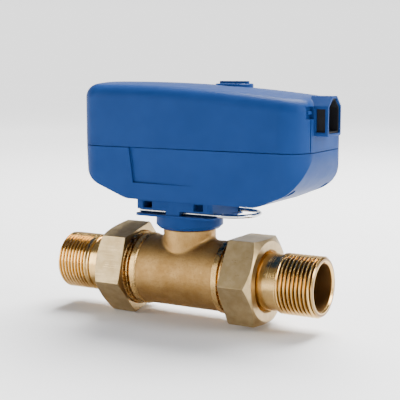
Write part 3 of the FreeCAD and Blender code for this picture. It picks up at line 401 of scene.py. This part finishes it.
def tailpiece_rows(start, end, collar):
    """Rows of (x, radius, turn): out along the thread, back through the bore, round the collar."""
    root_start = CREST_FLAT + FLANK
    steps = (0.0, CREST_FLAT / 2, CREST_FLAT, CREST_FLAT + FLANK / 2, root_start, root_start + ROOT_FLAT,
             root_start + ROOT_FLAT + FLANK / 2)
    rows = []
    for index in range(-1, math.ceil(THREAD_LENGTH / PITCH) + 1):
        for step in steps:
            row = []
            for column in range(AROUND + 1):
                turn = column / AROUND
                along = min(max((index + turn) * PITCH + step, 0.0), THREAD_LENGTH)
                row.append((end - THREAD_LENGTH + along, thread_radius(along, turn), turn))
            rows.append(row)
    plain = [(end, BORE_RADIUS + MOUTH_CHAMFER), (end - MOUTH_CHAMFER, BORE_RADIUS)]
    plain += [(start + INNER_CHAMFER, BORE_RADIUS), (start, BORE_RADIUS + INNER_CHAMFER)]
    plain += [(start, collar - EDGE), (start + EDGE, collar)]
    plain += [(COLLAR_FACE - EDGE, collar), (COLLAR_FACE, collar - EDGE)]
    plain += [(COLLAR_FACE, SHANK_RADIUS + FILLET), (COLLAR_FACE + FILLET, SHANK_RADIUS)]
    plain += [(end - THREAD_LENGTH - SHOULDER, SHANK_RADIUS)]
    for x, radius in plain:
        rows.append([(x, radius, column / AROUND) for column in range(AROUND + 1)])
    return rows


def make_tailpiece(node, facing):
    """A tailpiece with a true right-hand helical thread; facing is 1 to the right, -1 to the left."""
    low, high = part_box(node)
    reach = sorted((abs(low.x) / MM, abs(high.x) / MM))
    grid = bmesh.new()
    rows = []
    for row in tailpiece_rows(reach[0], reach[1], high.z / MM):
        verts = []
        for x, radius, turn in row:
            angle = 2 * math.pi * turn
            place = Vector((facing * x, facing * radius * math.cos(angle), radius * math.sin(angle)))
            verts.append(grid.verts.new(place * MM))
        rows.append(verts)
    for index, row in enumerate(rows):
        following = rows[(index + 1) % len(rows)]
        for column in range(AROUND):
            grid.faces.new((row[column], row[column + 1], following[column + 1], following[column]))
    bmesh.ops.remove_doubles(grid, verts=grid.verts, dist=MERGE_DISTANCE)
    bmesh.ops.dissolve_degenerate(grid, edges=grid.edges, dist=MERGE_DISTANCE)
    bmesh.ops.recalc_face_normals(grid, faces=grid.faces)
    mesh = bpy.data.meshes.new(f"{node}_threaded")
    grid.to_mesh(mesh)
    grid.free()
    mesh.shade_smooth()
    mesh.set_sharp_from_angle(angle=SHARP_EDGE)
    mesh.materials.append(TAILPIECE_BRASS)
    piece = bpy.data.objects.new(mesh.name, mesh)
    bpy.context.scene.collection.objects.link(piece)
    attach(piece, "valve")
    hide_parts(node)


# ---------------------------------------------------------------- room, lights and camera

HORIZON = 2.0               # brightness of the white surround near the horizon
OVERHEAD = 0.2              # and straight up
SKY_RISE = (0.06, 0.40)     # heights of the direction over which it dims
FLOOR_HALF = 6.0            # metres
FLOOR_DROP = 0.6 * MM       # below the lowest point of the part
FLOOR_GLOW = (0.25, 1.4)    # metres from the origin over which the floor brightens
FLOOR_SHARE = 0.85          # of the horizon's brightness
PAPER = (0.90, 0.90, 0.90)
PAPER_SHADE = (0.88, 0.88, 0.88)
WHITE = (1.0, 1.0, 1.0, 1.0)
LIGHT_TARGET = (0.0, 0.0, 0.03)

CAMERA_TARGET = (1.8, 6.0, 32.4)    # millimetres
CAMERA_AZIMUTH = math.radians(30.0)
CAMERA_ELEVATION = math.radians(7.5)
CAMERA_DISTANCE = 447.0
CAMERA_LENS = 88.5
SENSOR_WIDTH = 36.0


def make_floor():
    """Pale paper that brightens away from the object to meet the white surround without a line."""
    low = CAD_BOUNDS[0][2] - FLOOR_DROP
    mesh = bpy.data.meshes.new("floor")
    signs = ((-1, -1), (1, -1), (1, 1), (-1, 1))
    corners = [(x * FLOOR_HALF, y * FLOOR_HALF, low) for x, y in signs]
    mesh.from_pydata(corners, [], [(0, 1, 2, 3)])
    floor = bpy.data.objects.new("floor", mesh)
    bpy.context.scene.collection.objects.link(floor)
    surface = Shader("floor_paper", PAPER, 0.9)
    surface.set_colour(surface.noise(60.0, 2.0), PAPER, PAPER_SHADE)
    surface.surface.inputs["Emission Color"].default_value = WHITE
    reach = surface.node("ShaderNodeVectorMath", operation="LENGTH")
    surface.link(surface.place, reach.inputs[0])
    glow = surface.ramp(reach.outputs["Value"], *FLOOR_GLOW, 0.0, FLOOR_SHARE * HORIZON)
    surface.link(glow, surface.surface.inputs["Emission Strength"])
    mesh.materials.append(surface.material)


def area_light(name, place, size, power):
    """A soft white box at place, in metres, that faces the valve; power is in watts."""
    data = bpy.data.lights.new(name, "AREA")
    data.shape = "RECTANGLE"
    data.size, data.size_y = size
    data.energy = power
    light = bpy.data.objects.new(name, data)
    light.location = place
    light.rotation_euler = (Vector(LIGHT_TARGET) - Vector(place)).to_track_quat("-Z", "Y").to_euler()
    bpy.context.scene.collection.objects.link(light)


def light_room():
    area_light("overhead", (0.05, 0.45, 0.90), (0.8, 0.6), 42.0)
    area_light("right_side", (1.0, 0.05, 0.45), (0.5, 0.5), 11.0)
    area_light("left_front", (-0.75, -0.8, 0.30), (0.35, 0.8), 6.0)
    bpy.context.scene.world = studio_world()


def studio_world():
    """White near the horizon and dimmer overhead, so that metal has something to reflect."""
    world = bpy.data.worlds.new("studio")
    world.use_nodes = True
    nodes, links = world.node_tree.nodes, world.node_tree.links
    direction = nodes.new("ShaderNodeTexCoord")
    parts = nodes.new("ShaderNodeSeparateXYZ")
    spread = nodes.new("ShaderNodeMapRange")
    set_range(spread, *SKY_RISE, HORIZON, OVERHEAD)
    links.new(direction.outputs["Generated"], parts.inputs["Vector"])
    links.new(parts.outputs["Z"], spread.inputs["Value"])
    links.new(spread.outputs["Result"], nodes["Background"].inputs["Strength"])
    nodes["Background"].inputs["Color"].default_value = WHITE
    return world


def place_camera():
    """Thirty degrees to the right of the front, a little above the pipe."""
    data = bpy.data.cameras.new("camera")
    data.lens = CAMERA_LENS
    data.sensor_width = SENSOR_WIDTH
    data.clip_start = 0.01
    camera = bpy.data.objects.new("camera", data)
    across = math.cos(CAMERA_ELEVATION)
    back = Vector((0.0, 0.0, math.sin(CAMERA_ELEVATION)))
    back.x = math.sin(CAMERA_AZIMUTH) * across
    back.y = -math.cos(CAMERA_AZIMUTH) * across
    camera.location = (Vector(CAMERA_TARGET) + back * CAMERA_DISTANCE) * MM
    camera.rotation_euler = (-back).to_track_quat("-Z", "Y").to_euler()
    bpy.context.scene.collection.objects.link(camera)
    bpy.context.scene.camera = camera


place_camera()
light_room()
make_floor()
finish_cad_nodes()
make_tailpiece("tailpiece_right", 1)
make_tailpiece("tailpiece_left", -1)
